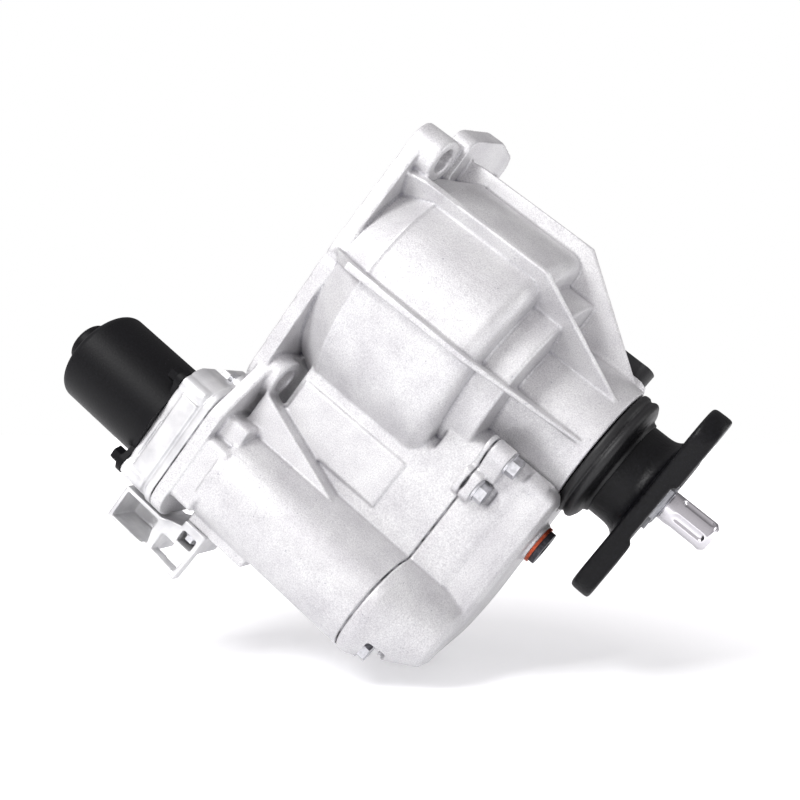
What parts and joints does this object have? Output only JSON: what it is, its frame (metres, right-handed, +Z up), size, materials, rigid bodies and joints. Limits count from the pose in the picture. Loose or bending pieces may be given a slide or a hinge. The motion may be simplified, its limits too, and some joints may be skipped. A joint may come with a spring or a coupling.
{
  "type": "differential clutch",
  "caption": "Electrically actuated differential clutch in a ribbed cast aluminium case, with actuator motor, rear output flange and front output shaft.",
  "frame": {"origin": "where the main shaft axis meets the mounting face that bolts to the gearbox, which is also the centre of the four bolt holes", "axes": "+X along the main shaft towards the rear output flange, +Y to the side of the front output shaft, +Z up"},
  "size_m": [0.3275, 0.164, 0.288],
  "materials": {
    "cast": "cast, fine grain",
    "gasket": "matt",
    "zinc": "zinc plated",
    "plug": "dark phosphate",
    "copper": "copper red",
    "steel": "machined",
    "rubber": "matt",
    "forged": "forged, black oxide",
    "polished": "ground and polished",
    "black_sheet": "matt black",
    "friction": "paper friction lining",
    "bronze": "sintered bronze",
    "black_paint": "satin black",
    "black_zinc": "black plated",
    "ferrite": "sintered",
    "armature": "laminations and copper",
    "black_plastic": "moulded"
  },
  "bodies": {
    "case": {"main_housing": "cast", "rear_cover": "cast", "cover_gasket": "gasket", "cover_bolts": "zinc", "drain_plug": "plug", "drain_washer": "copper", "front_bearing_plate": "cast", "plate_snap_ring": "steel", "input_seal": "rubber", "front_main_bearing": "steel", "drum_bearing": "steel", "rear_main_bearing": "steel", "rear_snap_ring": "steel", "rear_seal": "rubber", "idler_pin": "steel", "front_shaft_bearings": "steel", "front_shaft_seal": "rubber", "thrust_bearing": "steel", "actuator_bearings": "steel", "layshaft_pin": "polished", "actuator_gearcase": "cast", "gearcase_gasket": "gasket", "gearcase_bolts": "zinc", "motor_can": "black_paint", "motor_plate": "black_paint", "motor_bolts": "black_zinc", "motor_magnets": "ferrite", "support_bracket": "cast", "bracket_bolts": "zinc", "speed_sensor": "black_plastic"},
    "main_rotor": {"main_shaft": "steel", "output_flange": "forged", "flange_nut": "zinc", "pilot_pin": "polished", "dust_cover": "black_sheet", "clutch_hub": "steel", "friction_plates": "friction"},
    "drum": {"clutch_drum": "steel", "steel_plates": "steel", "drum_bush": "bronze", "drive_gear": "steel", "drive_gear_ring": "steel"},
    "idler": {"idler_gear": "steel"},
    "front_output": {"front_output_shaft": "steel", "front_gear": "steel", "front_gear_ring": "steel"},
    "ramp": {"ramp_lever": "steel", "roller_pin": "polished"},
    "roller": {"lever_roller": "polished"},
    "balls": {"ramp_balls": "polished"},
    "slider": {"slide_ramp": "steel", "needle_race": "polished"},
    "presser": {"pressure_plate": "steel"},
    "actuator": {"actuator_shaft": "steel", "spread_cam": "steel", "actuator_gear": "steel"},
    "layshaft_body": {"layshaft": "steel"},
    "motor": {"motor_rotor": "armature"}
  },
  "joints": [
    {"name": "main_spin", "type": "hinge", "parent": "case", "child": "main_rotor", "pos_m": [0.08, 0, 0], "axis": [1, 0, 0], "continuous": true},
    {"name": "drum_spin", "type": "hinge", "parent": "case", "child": "drum", "pos_m": [0.08, 0, 0], "axis": [1, 0, 0], "continuous": true},
    {"name": "idler_spin", "type": "hinge", "parent": "case", "child": "idler", "pos_m": [0.116, 0.01901, -0.05585], "axis": [1, 0, 0], "continuous": true},
    {"name": "front_spin", "type": "hinge", "parent": "case", "child": "front_output", "pos_m": [0.08, 0.03803, -0.1117], "axis": [1, 0, 0], "continuous": true},
    {"name": "ramp_turn", "type": "hinge", "parent": "case", "child": "ramp", "pos_m": [0.0399, 0, 0], "axis": [1, 0, 0], "range_deg": [0, 3.33]},
    {"name": "roller_spin", "type": "hinge", "parent": "ramp", "child": "roller", "pos_m": [0.0399, -0.034, -0.1333], "axis": [1, 0, 0], "continuous": true},
    {"name": "ball_turn", "type": "hinge", "parent": "case", "child": "balls", "pos_m": [0.0454, 0, 0], "axis": [1, 0, 0], "range_deg": [0, 1.68]},
    {"name": "ramp_slide", "type": "slide", "parent": "case", "child": "slider", "axis": [1, 0, 0], "range_m": [0, 0.0008]},
    {"name": "press_slide", "type": "slide", "parent": "drum", "child": "presser", "axis": [1, 0, 0], "range_m": [0, 0.0008]},
    {"name": "actuator_turn", "type": "hinge", "parent": "case", "child": "actuator", "pos_m": [0.04, -0.05, -0.127], "axis": [1, 0, 0], "range_deg": [-120.1, 0]},
    {"name": "layshaft_turn", "type": "hinge", "parent": "case", "child": "layshaft_body", "pos_m": [-0.008, -0.02636, -0.13117], "axis": [1, 0, 0], "range_deg": [0, 240.2]},
    {"name": "motor_turn", "type": "hinge", "parent": "case", "child": "motor", "pos_m": [-0.05, -0.05, -0.127], "axis": [1, 0, 0], "range_deg": [-583.34, 0]}
  ],
  "couplings": [
    {"joint": "idler_spin", "follows": "drum_spin", "ratio": -1.0345},
    {"joint": "front_spin", "follows": "drum_spin", "ratio": 1},
    {"joint": "ball_turn", "follows": "ramp_turn", "ratio": 0.5},
    {"joint": "ramp_slide", "follows": "ramp_turn", "m_per_rad": 0.01376},
    {"joint": "press_slide", "follows": "ramp_turn", "m_per_rad": 0.01376},
    {"joint": "actuator_turn", "follows": "ramp_turn", "ratio": -36.025},
    {"joint": "layshaft_turn", "follows": "ramp_turn", "ratio": 72.05},
    {"joint": "motor_turn", "follows": "ramp_turn", "ratio": -174.98}
  ]
}
